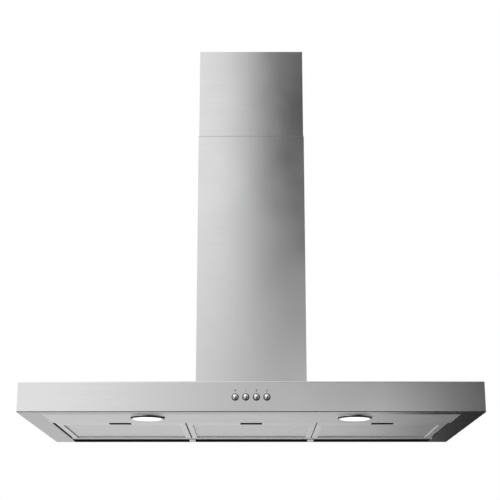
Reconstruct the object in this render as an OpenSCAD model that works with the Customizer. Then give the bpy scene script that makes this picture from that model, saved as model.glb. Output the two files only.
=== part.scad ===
// Wall-hung cooker hood: a flat box canopy under a two-part telescopic chimney.
// Millimetres. X runs across the wall, Y runs into the wall, Z is up.
// The origin is the centre of the four wall holes, on the face that touches the wall.
// Heights below are measured from the canopy's lower plane; at_base() moves them to the frame.

/* [Canopy] */
// Width of the canopy across the wall
canopy_w = 898; // [880:2:960]
// Depth of the canopy from the wall to its front face
canopy_d = 500; // [490:2:530]
// Height of the canopy box
canopy_h = 60; // [58:1:70]
// Thickness of the canopy sheet
sheet = 1; // [0.8:0.1:1.2]
// Outside radius of the two long folds of the front face
fold_r = 2.5; // [1.5:0.5:4]
// Width of the plain strip along each side of the underside
side_strip = 43; // [38:1:48]
// Width of the plain strip along the front of the underside
front_strip = 32; // [28:1:36]
// Height of the lip turned up around the opening of the underside
lip_h = 12; // [11:0.5:16]
// Depth of the flange turned forward along the foot of the back panel
back_flange = 6; // [5:1:12]
// Height of the inner underside above the canopy's lower plane
recess = 1.5; // [1:0.1:2.2]
// Height of the centre of the wall holes above the canopy's lower plane
wall_hole_z = 200; // [190:5:215]

/* [Filters] */
// Distance of the filters' front edge behind the canopy front
filter_front = 160; // [155:1:165]
// Distance of the filters' rear edge in front of the wall
rear_slot = 68; // [66:1:76]
// Thickness of a filter cassette
filter_h = 9; // [8:0.5:9]
// Gap between neighbouring filters
filter_gap = 2.5; // [2:0.1:4]
// Gap between an outer filter and the side strip
side_gap = 3.5; // [2:0.1:4]
// Gap between the filters and the lamp panel in front of them
front_gap = 1.5; // [1.3:0.1:2]
// Width of the folded rim along the two sides of a filter
frame_rim = 12; // [8:0.5:14]
// Width of the folded rim along the rear edge of a filter
rear_rim = 4; // [3.5:0.5:12]
// Thickness of the filter frame sheet
frame_sheet = 0.8; // [0.6:0.1:1]
// Outside radius of the folds along the lower edges of a filter frame
frame_fold_r = 1.6; // [1.2:0.1:2]
// Height of the lip turned up around a filter's window, which carries the mesh pack
window_lip = 1.8; // [1:0.1:3]
// Pitch of the folds in the mesh pack
mesh_pitch = 12; // [8:1:20]
// Width of the finger slot at the front edge of a filter
finger_w = 43; // [36:1:50]
// Length of the finger slot from front to rear
finger_l = 20; // [16:1:22]
// Travel of a filter latch
latch_travel = 6; // [4:0.5:7]

/* [Lamps and buttons] */
// Distance of each lamp from the middle of the hood
lamp_x = 204; // [190:1:230]
// Distance of the lamps behind the canopy front
lamp_front = 72; // [70:1:90]
// Outside radius of a lamp bezel
lamp_r = 35; // [32:0.5:36]
// Depth that a lamp bezel stands below the lamp panel
lamp_drop = 4; // [3:0.5:6]
// Depth of a lens above the lower face of its bezel
lens_set = 1.2; // [0.8:0.1:1.6]
// Spacing of the four buttons
button_pitch = 20.3; // [18:0.1:22]
// Height of the button centres above the canopy's lower plane
button_z = 29; // [27:0.5:32]
// Radius of a button cap
button_r = 5.3; // [4.5:0.1:5.6]
// Length of the straight part of a button cap in front of the canopy
button_skirt = 2.4; // [1.8:0.1:3]
// Height of the domed face of a button cap
button_dome = 3.6; // [2.5:0.1:4.5]
// Radial clearance of a button cap in its bezel
button_clearance = 0.06; // [0.03:0.01:0.1]
// Travel of a button
button_travel = 3; // [2:0.5:3.5]

/* [Chimney] */
// Outside width of the lower cover
cover_w = 234; // [230:1:240]
// Outside depth of the lower cover from the wall
cover_d = 280; // [276:1:300]
// Thickness of the cover sheet
cover_sheet = 0.8; // [0.6:0.1:1]
// Gap between the two covers on every side
cover_gap = 0.4; // [0.3:0.1:0.6]
// Height of the lower cover's top edge above the canopy's lower plane
seam_z = 645; // [600:1:700]
// Height of the upper cover's top edge above the canopy's lower plane
chimney_top = 850; // [820:1:900]
// Length of the upper cover that stays inside the lower cover
cover_overlap = 170; // [160:5:180]
// Width of the return lips along the wall
cover_lip = 12; // [10:0.5:12.5]
// Number of recirculation slots on each side of the upper cover
vent_count = 8; // [4:1:9]
// Spacing of the recirculation slots
vent_pitch = 9; // [7:0.5:10]
// Length of a recirculation slot
vent_l = 120; // [80:5:160]

/* [Blower] */
// Outside width of the blower box
box_w = 200; // [198:1:204]
// Height of the blower box above the canopy
box_h = 270; // [265:1:290]
// Distance of the blower box's front from the wall
box_d = 262; // [258:1:264]
// Distance of the blower axis from the wall
blower_y = 140; // [138:1:142]
// Height of the blower axis above the canopy's top sheet
blower_z = 128; // [124:1:132]
// Radius of the impeller
impeller_r = 64; // [60:0.5:65]
// Length of the impeller
impeller_l = 96; // [80:1:98]
// Number of impeller blades
blade_count = 32; // [24:1:36]
// Radius of the motor shaft
shaft_r = 4; // [3:0.5:5]
// Radial clearance of the shaft in the motor
shaft_clearance = 0.04; // [0.02:0.01:0.08]
// Outside radius of the duct collar
collar_r = 74.5; // [72:0.5:76]
// Height of the duct collar
collar_h = 60; // [52:1:80]
// Radius of the damper pin
pin_r = 2; // [1.5:0.1:2.5]
// Radial clearance of the damper flaps on their pin
pin_clearance = 0.06; // [0.03:0.01:0.1]

/* [Wall fixing] */
// Spacing of the wall holes across the hood
wall_hole_dx = 160; // [150:1:170]
// Spacing of the wall holes up the hood
wall_hole_dz = 180; // [170:1:200]
// Radius of the wall holes
wall_hole_r = 4.25; // [3:0.25:5]
// Spacing of the wall holes in the top bracket
bracket_hole_dx = 140; // [100:2:170]

/* [Hidden] */
$fn = 64;
steel = [0.78, 0.78, 0.79];
zinc = [0.66, 0.67, 0.69];
chrome = [0.85, 0.85, 0.87];
black = [0.13, 0.13, 0.14];
eps = 0.05;
far = 400;

front_y = -canopy_d;
open_half = canopy_w / 2 - side_strip;
open_front = front_y + front_strip;
filter_y0 = front_y + filter_front;
filter_y1 = -rear_slot;
filter_half = open_half - side_gap;
filter_w = (2 * filter_half - 2 * filter_gap) / 3;
filter_step = filter_w + filter_gap;
filter_top = recess + filter_h;
panel_back = filter_y0 - front_gap;

rail_w = 14;
rail_z = filter_top + 0.8;
rail_h = 2.4;
ledge_l = 20;
bead_r = 1.2;
bead_y = filter_y1 + 3;
bead_z = recess + bead_r;
rail_y1 = bead_y + ledge_l;
hook_w = 20;
hook_x = filter_w / 2 - 45;
hook_bore = bead_r + 0.08;
hook_r = hook_bore + 0.9;
hook_open = 30;

finger_y0 = filter_y0 + 3;
finger_y1 = finger_y0 + finger_l;
latch_w = 30;
latch_h = 1.6;
latch_z = filter_top - frame_sheet - 0.3 - latch_h;
latch_y0 = filter_y0 - 0.9;
latch_y1 = finger_y1 + 14;
grip_y1 = finger_y1 - latch_travel - 1;
mesh_y0 = latch_y1 + latch_travel + 2;
mesh_low = recess + frame_sheet + window_lip;
grip_t = 1.6;

bezel_bore = button_r + button_clearance;
bezel_sleeve = bezel_bore + 0.8;
bezel_flange = bezel_bore + 1.6;
stem_r = 3;
stem_l = 22;
cap_l = 6;
housing_front = front_y + 10;
housing_back = housing_front + 22;
housing_half = 1.5 * button_pitch + 12;
board_half = 70;
board_h = 28;
board_t = 1.6;

lamp_y = front_y + lamp_front;
lamp_hole_r = lamp_r - 5;
lamp_fit = 0.1;
sleeve_r = lamp_hole_r - 2;
sleeve_h = 5;
lens_t = 2.4;
lens_z = lens_set - lamp_drop;

cover_half = cover_w / 2;
upper_inset = cover_sheet + cover_gap;
upper_half = cover_half - upper_inset;
upper_front = cover_d - upper_inset;
upper_bottom = seam_z - cover_overlap;
bracket_z = chimney_top - 40;
bracket_h = 30;
bracket_back = -upper_inset - cover_sheet - 0.1;
bracket_t = 1.5;
bracket_half = upper_half - cover_sheet;
bracket_screw_y = -24;
bracket_screw_zs = [8, 22];

screw_r = 2;
screw_hole_r = screw_r + 0.05;
screw_l = 8;
screw_head_r = 3.6;
screw_head_h = 1.8;
screw_slot = 0.8;

box_half = box_w / 2;
box_flange = 12;
box_top = canopy_h + box_h;
box_screw_x = box_half + box_flange / 2;
box_screw_ys = [-30, -130, -box_d + 12];

axis_y = -blower_y;
axis_z = canopy_h + blower_z;
wall_t = 2;
scroll_half = impeller_l / 2 + 5;
tongue_a = 100;
scroll_r0 = impeller_r + 4;
scroll_r1 = box_half - sheet - wall_t - 2;
throat_half = 66;
throat_top = box_top - sheet - axis_z;
scroll_steps = 36;
tongue_step = 2;
inlet_r = impeller_r - 8;
motor_r = 40;
motor_y0 = axis_y + 8;
motor_y1 = axis_y + scroll_half + wall_t;
blade_in = impeller_r - 13;
blade_sweep = 14;
blade_deg = 1.3;
blade_steps = 4;

collar_wall = 1.5;
collar_bore = collar_r - collar_wall;
collar_flange = collar_r + 10;
collar_screw_r = collar_r + 5.2;
collar_screw_a = 50;
pin_z = box_top + 30;
pin_seat = 0.9;
flap_t = 1.2;
flap_r = collar_bore - 1;
knuckle_r = pin_r + 2;
knuckle_bore = pin_r + pin_clearance;
flap_start = knuckle_r + 1.2;

wiring_w = 90;
wiring_x = -52;
wiring_y0 = -48;
wiring_y1 = -4;
wiring_h = 30;

// Moves a piece from the canopy's lower plane to the height of the wall holes.
module at_base() {
    translate([0, 0, -wall_hole_z])
        children();
}

// Extrudes a side profile, drawn as Y and Z, across the hood.
module along_x(length) {
    translate([-length / 2, 0, 0])
        rotate([90, 0, 90])
            linear_extrude(length)
                children();
}

// Extrudes a front profile, drawn as X and Z, from one Y to another.
module along_y(from, to) {
    translate([0, to, 0])
        rotate([90, 0, 0])
            linear_extrude(to - from)
                children();
}

// A bar given by its low and high corners.
module bar(low, high) {
    translate(low)
        cube(high - low);
}

// A pan-head screw with a cross recess, its head seat at the origin and its shank down.
module pan_screw() {
    slot_l = 1.2 * screw_head_r;
    difference() {
        union() {
            cylinder(h = screw_head_h, r = screw_head_r, $fn = 32);
            translate([0, 0, -screw_l])
                cylinder(h = screw_l + eps, r = screw_r, $fn = 32);
        }
        translate([0, 0, screw_head_h])
            for (size = [[slot_l, screw_slot, screw_head_h], [screw_slot, slot_l, screw_head_h]])
                cube(size, center = true);
    }
}

// Canopy.

// Side outline of the canopy box with its two front folds, set in by a distance.
module canopy_outline(inset, back) {
    r = fold_r - inset;
    front = front_y + inset;
    top = canopy_h - inset;
    translate([front + r, inset])
        square([back - front - r, top - inset]);
    translate([front, inset + r])
        square([2 * r, top - inset - 2 * r]);
    translate([front + r, inset + r])
        circle(r);
    translate([front + r, top - r])
        circle(r);
}

// Places its children at each of the four buttons.
module each_button() {
    for (i = [0:3])
        translate([(i - 1.5) * button_pitch, 0, button_z])
            children();
}

// Places its children at each screw of the blower box flange.
module each_box_screw() {
    for (x = [-box_screw_x, box_screw_x])
        for (y = box_screw_ys)
            translate([x, y, canopy_h])
                children();
}

module canopy_shell() {
    color(steel)
        at_base() {
            difference() {
                along_x(canopy_w)
                    canopy_outline(0, 0);
                along_x(canopy_w - 2 * sheet)
                    canopy_outline(sheet, 1);
                bar([-open_half, open_front, -1], [open_half, 1, sheet + 1]);
                bar([-box_half + 6, -box_d + 6, canopy_h - sheet - 1], [box_half - 6, -6, canopy_h + 1]);
                each_button()
                    translate([0, front_y + 4, 0])
                        rotate([90, 0, 0])
                            cylinder(h = 8, r = bezel_sleeve + eps);
                each_box_screw()
                    cylinder(h = 6, r = screw_hole_r, center = true);
            }
            bar([-open_half - sheet, open_front - sheet, sheet / 2], [open_half + sheet, open_front, lip_h]);
            for (side = [-1, 1])
                translate([side * (open_half + sheet / 2), 0, 0])
                    bar([-sheet / 2, open_front - sheet, sheet / 2], [sheet / 2, -sheet, lip_h]);
        }
}

module back_panel() {
    inner_half = canopy_w / 2 - sheet;
    color(zinc)
        at_base() {
            bar([-inner_half, -sheet, sheet], [inner_half, 0, canopy_h - sheet]);
            bar([-open_half, -back_flange, 0], [open_half, 0, sheet]);
            bar([-inner_half, -back_flange - 4, canopy_h - 2 * sheet], [-box_half, 0, canopy_h - sheet]);
            bar([box_half, -back_flange - 4, canopy_h - 2 * sheet], [inner_half, 0, canopy_h - sheet]);
        }
}

module lamp_panel() {
    color(steel)
        at_base()
            difference() {
                union() {
                    bar([-open_half, open_front, 0], [open_half, panel_back, sheet]);
                    bar([-open_half, open_front, 0], [open_half, open_front + sheet, lip_h]);
                    bar([-open_half, panel_back - sheet, 0], [open_half, panel_back, filter_top + 0.8]);
                }
                for (side = [-1, 1])
                    translate([side * lamp_x, lamp_y, 0])
                        cylinder(h = 2 * lip_h, r = lamp_hole_r + lamp_fit, center = true);
                for (i = [-1:1])
                    translate([i * filter_step, panel_back, latch_z + latch_h / 2])
                        cube([latch_w + 2, 4, latch_h + 1.2], center = true);
            }
}

// Two strips over the joints between the filters, folded down behind the rear rail to a strap.
module filter_rails() {
    color(steel)
        at_base()
            for (side = [-1, 1])
                translate([side * filter_step / 2, 0, 0]) {
                    bar([-rail_w / 2, panel_back - sheet, rail_z],
                        [rail_w / 2, rail_y1 + sheet, rail_z + rail_h]);
                    bar([-rail_w / 2, rail_y1, 0], [rail_w / 2, rail_y1 + sheet, rail_z + rail_h]);
                    bar([-rail_w / 2, rail_y1, 0], [rail_w / 2, -back_flange, sheet]);
                }
}

// The folded rail behind the filters; its front edge is rolled into a bead that carries them.
module rear_rail() {
    color(steel)
        at_base()
            along_x(2 * open_half) {
                translate([bead_y, bead_z])
                    circle(bead_r);
                translate([bead_y, recess])
                    square([ledge_l, sheet]);
                translate([rail_y1 - sheet, recess])
                    square([sheet, rail_z - recess]);
                translate([filter_y1 + 1, rail_z - sheet])
                    square([rail_y1 - filter_y1 - 1, sheet]);
            }
}

// Filters.

// Side profile of a hook that hangs over the bead of the rear rail, with its flat shank.
module hook_profile() {
    reach = bead_y - filter_y1 + frame_sheet;
    shank = frame_sheet / 2;
    difference() {
        union() {
            circle(hook_r);
            translate([-reach, -shank])
                square([reach, frame_sheet]);
        }
        circle(hook_bore);
        polygon([
            [0, 0],
            [reach * cos(hook_open), reach * sin(hook_open)],
            [reach, -reach],
            [-reach, -reach],
            [-reach, -shank],
            [0, -shank]
        ]);
    }
}

// Section of a filter tray from one side to the other, with its two lower folds, set in by a distance.
module tray_section(from, to, inset) {
    r = frame_fold_r - inset;
    low = recess + inset;
    translate([from + inset + r, low])
        square([to - from - 2 * (inset + r), filter_top - inset - low]);
    translate([from + inset, low + r])
        square([to - from - 2 * inset, filter_top - inset - low - r]);
    for (x = [from + inset + r, to - inset - r])
        translate([x, low + r])
            circle(r);
}

// A filter tray with rounded lower edges, set in by a distance.
module filter_tray(inset) {
    intersection() {
        along_x(filter_w - 2 * inset)
            tray_section(filter_y0, filter_y1, inset);
        along_y(filter_y0 + inset, filter_y1 - inset)
            tray_section(-filter_w / 2, filter_w / 2, inset);
    }
}

// A filter cassette frame: a shallow tray, open above and below, with a lip around its window.
module filter_frame() {
    window_x = filter_w / 2 - frame_rim;
    window_y0 = mesh_y0 + 4;
    window_y1 = filter_y1 - rear_rim;
    guide_y0 = filter_y0 + frame_sheet - eps;
    difference() {
        union() {
            difference() {
                filter_tray(0);
                filter_tray(frame_sheet);
            }
            bar([-window_x - frame_sheet, window_y0 - frame_sheet, recess + frame_sheet / 2],
                [window_x + frame_sheet, window_y1 + frame_sheet, mesh_low]);
        }
        bar([-window_x, window_y0, recess - 1], [window_x, window_y1, filter_top + 1]);
        bar([-finger_w / 2, finger_y0, recess - 1], [finger_w / 2, finger_y1, recess + frame_sheet + 1]);
        bar([-latch_w / 2 - 0.4, filter_y0 - 1, latch_z - 0.4],
            [latch_w / 2 + 0.4, filter_y0 + frame_sheet + 1, latch_z + latch_h + 0.3]);
    }
    for (side = [-1, 1])
        translate([side * hook_x, 0, 0])
            along_x(hook_w)
                translate([bead_y, bead_z])
                    hook_profile();
    for (side = [-1, 1])
        translate([side * (latch_w / 2 + 1.4), 0, 0]) {
            bar([-1, guide_y0, latch_z - 1.4], [1, latch_y1, filter_top - frame_sheet + eps]);
            translate([-side * 1.2, 0, 0])
                bar([-1.2, guide_y0, latch_z - 1.4], [1.2, finger_y0, latch_z - 0.4]);
        }
}

// Side profile of the folded mesh pack: a zigzag sheet between a lower and an upper face.
function mesh_wave(length, low, high, count) = [
    for (i = [0:count]) [length * i / count, i % 2 == 0 ? low : high]
];

module filter_mesh() {
    x1 = filter_w / 2 - frame_sheet - 0.3;
    low = mesh_low;
    high = filter_top - frame_sheet;
    y0 = mesh_y0;
    y1 = filter_y1 - frame_sheet - 0.3;
    skin = 0.5;
    folds = 2 * floor((y1 - y0) / mesh_pitch);
    under = mesh_wave(y1 - y0, low + skin, high - 2 * skin, folds);
    over = [for (i = [folds:-1:0]) [under[i][0], under[i][1] + skin]];
    bar([-x1, y0, low], [x1, y1, low + skin + eps]);
    bar([-x1, y0, high - skin - eps], [x1, y1, high]);
    translate([0, y0, 0])
        along_x(2 * x1)
            polygon(concat(under, over));
}

// A sliding latch: a flat tongue with a finger grip turned down into the slot.
module filter_latch() {
    bar([-latch_w / 2, latch_y0, latch_z], [latch_w / 2, grip_y1, latch_z + latch_h]);
    bar([-latch_w / 2 + 2, grip_y1 - grip_t, recess + 0.6], [latch_w / 2 - 2, grip_y1, latch_z + eps]);
    bar([-latch_w / 2 + 6, grip_y1 - eps, latch_z], [latch_w / 2 - 6, latch_y1 - 2, latch_z + latch_h]);
}

module filter_frame_left() {
    color(steel)
        at_base()
            translate([-filter_step, 0, 0])
                filter_frame();
}

module filter_frame_mid() {
    color(steel)
        at_base()
            filter_frame();
}

module filter_frame_right() {
    color(steel)
        at_base()
            translate([filter_step, 0, 0])
                filter_frame();
}

module filter_mesh_left() {
    color(zinc)
        at_base()
            translate([-filter_step, 0, 0])
                filter_mesh();
}

module filter_mesh_mid() {
    color(zinc)
        at_base()
            filter_mesh();
}

module filter_mesh_right() {
    color(zinc)
        at_base()
            translate([filter_step, 0, 0])
                filter_mesh();
}

module filter_latch_left() {
    color(black)
        at_base()
            translate([-filter_step, 0, 0])
                filter_latch();
}

module filter_latch_mid() {
    color(black)
        at_base()
            filter_latch();
}

module filter_latch_right() {
    color(black)
        at_base()
            translate([filter_step, 0, 0])
                filter_latch();
}

// Lamps.

// A lamp bezel: a thin flange under the panel, a ring below it and a sleeve through the panel.
module lamp_bezel() {
    rotate_extrude()
        polygon([
            [sleeve_r - 1, -lamp_drop],
            [lamp_r - 3.4, -lamp_drop],
            [lamp_r - 3, -lamp_drop + 0.4],
            [lamp_r - 2.2, -1.2],
            [lamp_r - 0.4, -1.2],
            [lamp_r, -0.8],
            [lamp_r, 0],
            [lamp_hole_r, 0],
            [lamp_hole_r, sleeve_h],
            [sleeve_r, sleeve_h],
            [sleeve_r, lens_z],
            [sleeve_r - 1, lens_z]
        ]);
}

module lamp_lens() {
    translate([0, 0, lens_z])
        cylinder(h = lens_t, r = sleeve_r - lamp_fit);
}

// The lamp can above the lens, with cooling rings and a terminal block.
module lamp_body() {
    translate([0, 0, lens_z + lens_t])
        rotate_extrude()
            polygon([
                [0, 0],
                [sleeve_r - lamp_fit, 0],
                [sleeve_r - lamp_fit, 9],
                [lamp_hole_r - 6, 11],
                [lamp_hole_r - 6, 14],
                [lamp_hole_r - 4, 14],
                [lamp_hole_r - 4, 16],
                [lamp_hole_r - 8, 16],
                [lamp_hole_r - 8, 19],
                [lamp_hole_r - 4, 19],
                [lamp_hole_r - 4, 21],
                [lamp_hole_r - 8, 21],
                [lamp_hole_r - 8, 26],
                [0, 26]
            ]);
    translate([-10, -6, lens_z + lens_t + 20])
        cube([20, 12, 14]);
}

// Places its children at the left or right lamp, on the face of the lamp panel.
module at_lamp(side) {
    at_base()
        translate([side * lamp_x, lamp_y, 0])
            children();
}

module lamp_bezel_left() {
    color(chrome)
        at_lamp(-1)
            lamp_bezel();
}

module lamp_bezel_right() {
    color(chrome)
        at_lamp(1)
            lamp_bezel();
}

module lamp_lens_left() {
    color("white")
        at_lamp(-1)
            lamp_lens();
}

module lamp_lens_right() {
    color("white")
        at_lamp(1)
            lamp_lens();
}

module lamp_body_left() {
    color(zinc)
        at_lamp(-1)
            lamp_body();
}

module lamp_body_right() {
    color(zinc)
        at_lamp(1)
            lamp_body();
}

// Buttons.

// A domed push button on a guide stem, with its skirt standing a little out of the bezel.
module button(index) {
    dome_r = (pow(button_r, 2) + pow(button_dome, 2)) / (2 * button_dome);
    color(chrome)
        at_base()
            translate([(index - 2.5) * button_pitch, front_y, button_z])
                rotate([-90, 0, 0]) {
                    intersection() {
                        translate([0, 0, dome_r - button_skirt - button_dome])
                            sphere(dome_r);
                        translate([0, 0, -button_skirt - button_dome])
                            cylinder(h = button_dome + eps, r = button_r);
                    }
                    translate([0, 0, -button_skirt])
                        cylinder(h = button_skirt + cap_l, r = button_r);
                    cylinder(h = stem_l, r = stem_r);
                }
}

module button_1() {
    button(1);
}

module button_2() {
    button(2);
}

module button_3() {
    button(3);
}

module button_4() {
    button(4);
}

module button_bezels() {
    color(chrome)
        at_base()
            each_button()
                translate([0, front_y, 0])
                    rotate([-90, 0, 0])
                        rotate_extrude()
                            polygon([
                                [bezel_bore, -1.4],
                                [bezel_flange - 0.6, -1.4],
                                [bezel_flange, -0.8],
                                [bezel_flange, 0],
                                [bezel_sleeve, 0],
                                [bezel_sleeve, 5],
                                [bezel_bore, 5]
                            ]);
}

module switch_housing() {
    z0 = button_z - 12;
    z1 = button_z + 12;
    color(black)
        at_base()
            difference() {
                bar([-housing_half, front_y + sheet, z0], [housing_half, housing_back, z1]);
                bar([-housing_half + 3, front_y, z0 + 3], [housing_half - 3, housing_front, z1 - 3]);
                each_button()
                    translate([0, housing_back - 4, 0])
                        rotate([90, 0, 0])
                            cylinder(h = housing_back - front_y, r = stem_r + button_clearance);
            }
}

// The control board behind the switches, with its transformer, relay and capacitors.
module control_board() {
    face = housing_back + board_t;
    supply = [28, 14.4, 20];
    relay = [22, 12.4, 16];
    can_r = 4;
    can_l = 10;
    can_step = 14;
    edge = 6;
    color([0.1, 0.35, 0.2])
        at_base()
            translate([0, 0, button_z]) {
                bar([-board_half, housing_back, -board_h / 2], [board_half, face, board_h / 2]);
                translate([-board_half + edge, face - eps, -supply[2] / 2])
                    cube(supply);
                translate([board_half - edge - relay[0], face - eps, -relay[2] / 2])
                    cube(relay);
                for (i = [0:3])
                    translate([(i - 1.35) * can_step, face - eps, 0])
                        rotate([-90, 0, 0])
                            cylinder(h = can_l, r = can_r, $fn = 32);
            }
}

// Chimney.

// Plan of a chimney cover: front, two sides and two lips returned along the wall.
module cover_plan(half, front, rear) {
    difference() {
        translate([-half, -front])
            square([2 * half, front + rear]);
        translate([-half + cover_sheet, -front + cover_sheet])
            square([2 * (half - cover_sheet), front + rear - 2 * cover_sheet]);
        translate([-half + cover_lip, -front / 2])
            square([2 * (half - cover_lip), far]);
    }
}

module lower_cover() {
    color(steel)
        at_base()
            translate([0, 0, canopy_h])
                linear_extrude(seam_z - canopy_h)
                    cover_plan(cover_half, cover_d, 0);
}

// Outline of one recirculation slot with round ends.
module vent_slot() {
    slot_h = 3.2;
    square([vent_l - slot_h, slot_h], center = true);
    for (end = [-1, 1])
        translate([end * (vent_l - slot_h) / 2, 0])
            circle(slot_h / 2, $fn = 24);
}

module upper_cover() {
    color(steel)
        at_base()
            difference() {
                translate([0, 0, upper_bottom])
                    linear_extrude(chimney_top - upper_bottom)
                        cover_plan(upper_half, upper_front, -upper_inset);
                translate([0, -cover_d / 2, chimney_top - 30 - (vent_count - 1) * vent_pitch])
                    for (i = [0:vent_count - 1])
                        translate([0, 0, i * vent_pitch])
                            along_x(2 * far)
                                vent_slot();
                for (z = bracket_screw_zs)
                    translate([0, bracket_screw_y, bracket_z + z])
                        rotate([0, 90, 0])
                            cylinder(h = 2 * far, r = screw_hole_r, center = true);
            }
}

// The bracket that ties the top of the upper cover to the wall.
module top_bracket() {
    color(zinc)
        at_base()
            translate([0, 0, bracket_z])
                difference() {
                    union() {
                        bar([-bracket_half, bracket_back - bracket_t, 0],
                            [bracket_half, bracket_back, bracket_h]);
                        bar([-bracket_half + 14, bracket_back - eps, 0], [bracket_half - 14, 0, bracket_h]);
                        for (side = [-1, 1])
                            translate([side * (bracket_half - bracket_t / 2), 0, 0])
                                bar([-bracket_t / 2, bracket_screw_y - 14, 0],
                                    [bracket_t / 2, bracket_back, bracket_h]);
                    }
                    for (side = [-1, 1])
                        translate([side * bracket_hole_dx / 2, 0, bracket_h / 2])
                            rotate([90, 0, 0])
                                cylinder(h = 20, r = 2.75, center = true);
                    for (z = bracket_screw_zs)
                        translate([0, bracket_screw_y, z])
                            rotate([0, 90, 0])
                                cylinder(h = 2 * far, r = screw_hole_r, center = true);
                }
}

module bracket_screws() {
    color(zinc)
        at_base()
            for (side = [-1, 1])
                for (z = bracket_screw_zs)
                    translate([side * upper_half, bracket_screw_y, bracket_z + z])
                        rotate([0, side * 90, 0])
                            pan_screw();
}

// Blower box and duct.

module blower_box() {
    color(zinc)
        at_base()
            difference() {
                union() {
                    bar([-box_half, -box_d, canopy_h], [box_half, 0, box_top]);
                    bar([-box_half - box_flange, -box_d - box_flange, canopy_h],
                        [box_half + box_flange, -3, canopy_h + sheet]);
                }
                bar([-box_half + sheet, -box_d + sheet, canopy_h - 1],
                    [box_half - sheet, -sheet, box_top - sheet]);
                translate([0, axis_y, box_top])
                    cylinder(h = 10, r = collar_bore - 4, center = true);
                for (x = [-wall_hole_dx / 2, wall_hole_dx / 2])
                    for (z = [-wall_hole_dz / 2, wall_hole_dz / 2])
                        translate([x, 0, wall_hole_z + z])
                            rotate([90, 0, 0])
                                cylinder(h = 10, r = wall_hole_r, center = true);
                each_box_screw()
                    cylinder(h = 6, r = screw_hole_r, center = true);
                each_collar_screw()
                    cylinder(h = 6, r = screw_hole_r, center = true);
            }
}

module box_screws() {
    color(zinc)
        at_base()
            each_box_screw()
                translate([0, 0, sheet])
                    pan_screw();
}

// Places its children at each screw of the duct collar flange.
module each_collar_screw() {
    for (x = [-1, 1])
        for (y = [-1, 1])
            translate([x * collar_screw_r * cos(collar_screw_a), axis_y, box_top])
                translate([0, y * collar_screw_r * sin(collar_screw_a), 0])
                    children();
}

module duct_collar() {
    color(black)
        at_base()
            difference() {
                translate([0, axis_y, box_top])
                    rotate_extrude()
                        polygon([
                            [collar_bore - 4, 0],
                            [collar_flange, 0],
                            [collar_flange, 2],
                            [collar_r, 2],
                            [collar_r, collar_h],
                            [collar_bore, collar_h],
                            [collar_bore, 29 - flap_t],
                            [collar_bore - 4, 27.5 - flap_t],
                            [collar_bore - 4, 25.5 - flap_t],
                            [collar_bore, 23.5 - flap_t],
                            [collar_bore, 2],
                            [collar_bore - 4, 2]
                        ]);
                translate([0, axis_y, pin_z])
                    rotate([0, 90, 0])
                        cylinder(h = 2 * (collar_bore + pin_seat), r = pin_r + eps / 2, center = true);
                each_collar_screw()
                    cylinder(h = 6, r = screw_hole_r, center = true);
            }
}

module collar_screws() {
    color(zinc)
        at_base()
            each_collar_screw()
                translate([0, 0, 2])
                    pan_screw();
}

module damper_pin() {
    color(chrome)
        at_base()
            translate([0, axis_y, pin_z])
                rotate([0, 90, 0])
                    cylinder(h = 2 * (collar_bore + pin_seat - 0.1), r = pin_r, center = true);
}

// Half of the butterfly damper: a half disc with three hinge knuckles on the pin.
module damper_flap(side, knuckles) {
    translate([0, axis_y, pin_z])
        difference() {
            union() {
                intersection() {
                    translate([0, 0, -flap_t / 2])
                        cylinder(h = flap_t, r = flap_r);
                    translate([0, side * (flap_start + far / 2), 0])
                        cube([2 * far, far, far], center = true);
                }
                for (k = knuckles) {
                    translate([k[0], 0, 0])
                        rotate([0, 90, 0])
                            cylinder(h = k[1] - k[0], r = knuckle_r, $fn = 32);
                    translate([k[0], min(0, side * (flap_start + 1)), -flap_t / 2])
                        cube([k[1] - k[0], flap_start + 1, flap_t]);
                }
            }
            rotate([0, 90, 0])
                cylinder(h = 2 * far, r = knuckle_bore, center = true);
        }
}

module damper_flap_front() {
    color(black)
        at_base()
            damper_flap(-1, [[-66, -46], [-20, 0.5], [40, 60]]);
}

module damper_flap_rear() {
    color(black)
        at_base()
            damper_flap(1, [[-45.5, -25], [1, 21], [60.5, 68]]);
}

// Blower.

function scroll_radius(a) = scroll_r0 + (scroll_r1 - scroll_r0) * (a - tongue_a) / (360 - tongue_a);

// Points of the growing spiral, set out from the axis by a distance.
function spiral_points(grow) = [
    for (i = [0:scroll_steps])
        let (a = tongue_a + (360 - tongue_a) * i / scroll_steps)
            [(scroll_radius(a) + grow) * cos(a), (scroll_radius(a) + grow) * sin(a)]
];

// Outline around the volute and its upward throat, without the wall's inner face.
function scroll_outside() = concat(
    [[throat_half + wall_t, throat_top]],
    [for (i = [scroll_steps:-1:tongue_step]) spiral_points(wall_t)[i]],
    [[-throat_half - wall_t, throat_top]]
);

// Section of the volute wall: the spiral, the two leaning throat walls and the tongue.
module scroll_section() {
    translate([0, axis_z])
        polygon(concat(
            [[-throat_half, throat_top]],
            spiral_points(0),
            [[throat_half, throat_top]],
            scroll_outside()
        ));
}

module scroll_wall() {
    color(zinc)
        at_base()
            along_y(axis_y - scroll_half, axis_y + scroll_half)
                scroll_section();
}

// A side plate of the volute with its round inlet.
module scroll_side(from, to) {
    along_y(from, to)
        translate([0, axis_z])
            difference() {
                polygon(scroll_outside());
                circle(inlet_r);
            }
}

module scroll_front() {
    front = axis_y - scroll_half - wall_t;
    color(zinc)
        at_base() {
            scroll_side(front, front + wall_t);
            translate([0, front, axis_z])
                rotate([90, 0, 0])
                    rotate_extrude()
                        polygon([
                            [inlet_r, -wall_t],
                            [inlet_r, 0],
                            [inlet_r + 2, 3],
                            [inlet_r + 6, 5],
                            [inlet_r + 6, 3.6],
                            [inlet_r + 3, 2],
                            [inlet_r + 2, -eps],
                            [inlet_r + 2, -wall_t]
                        ]);
        }
}

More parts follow.
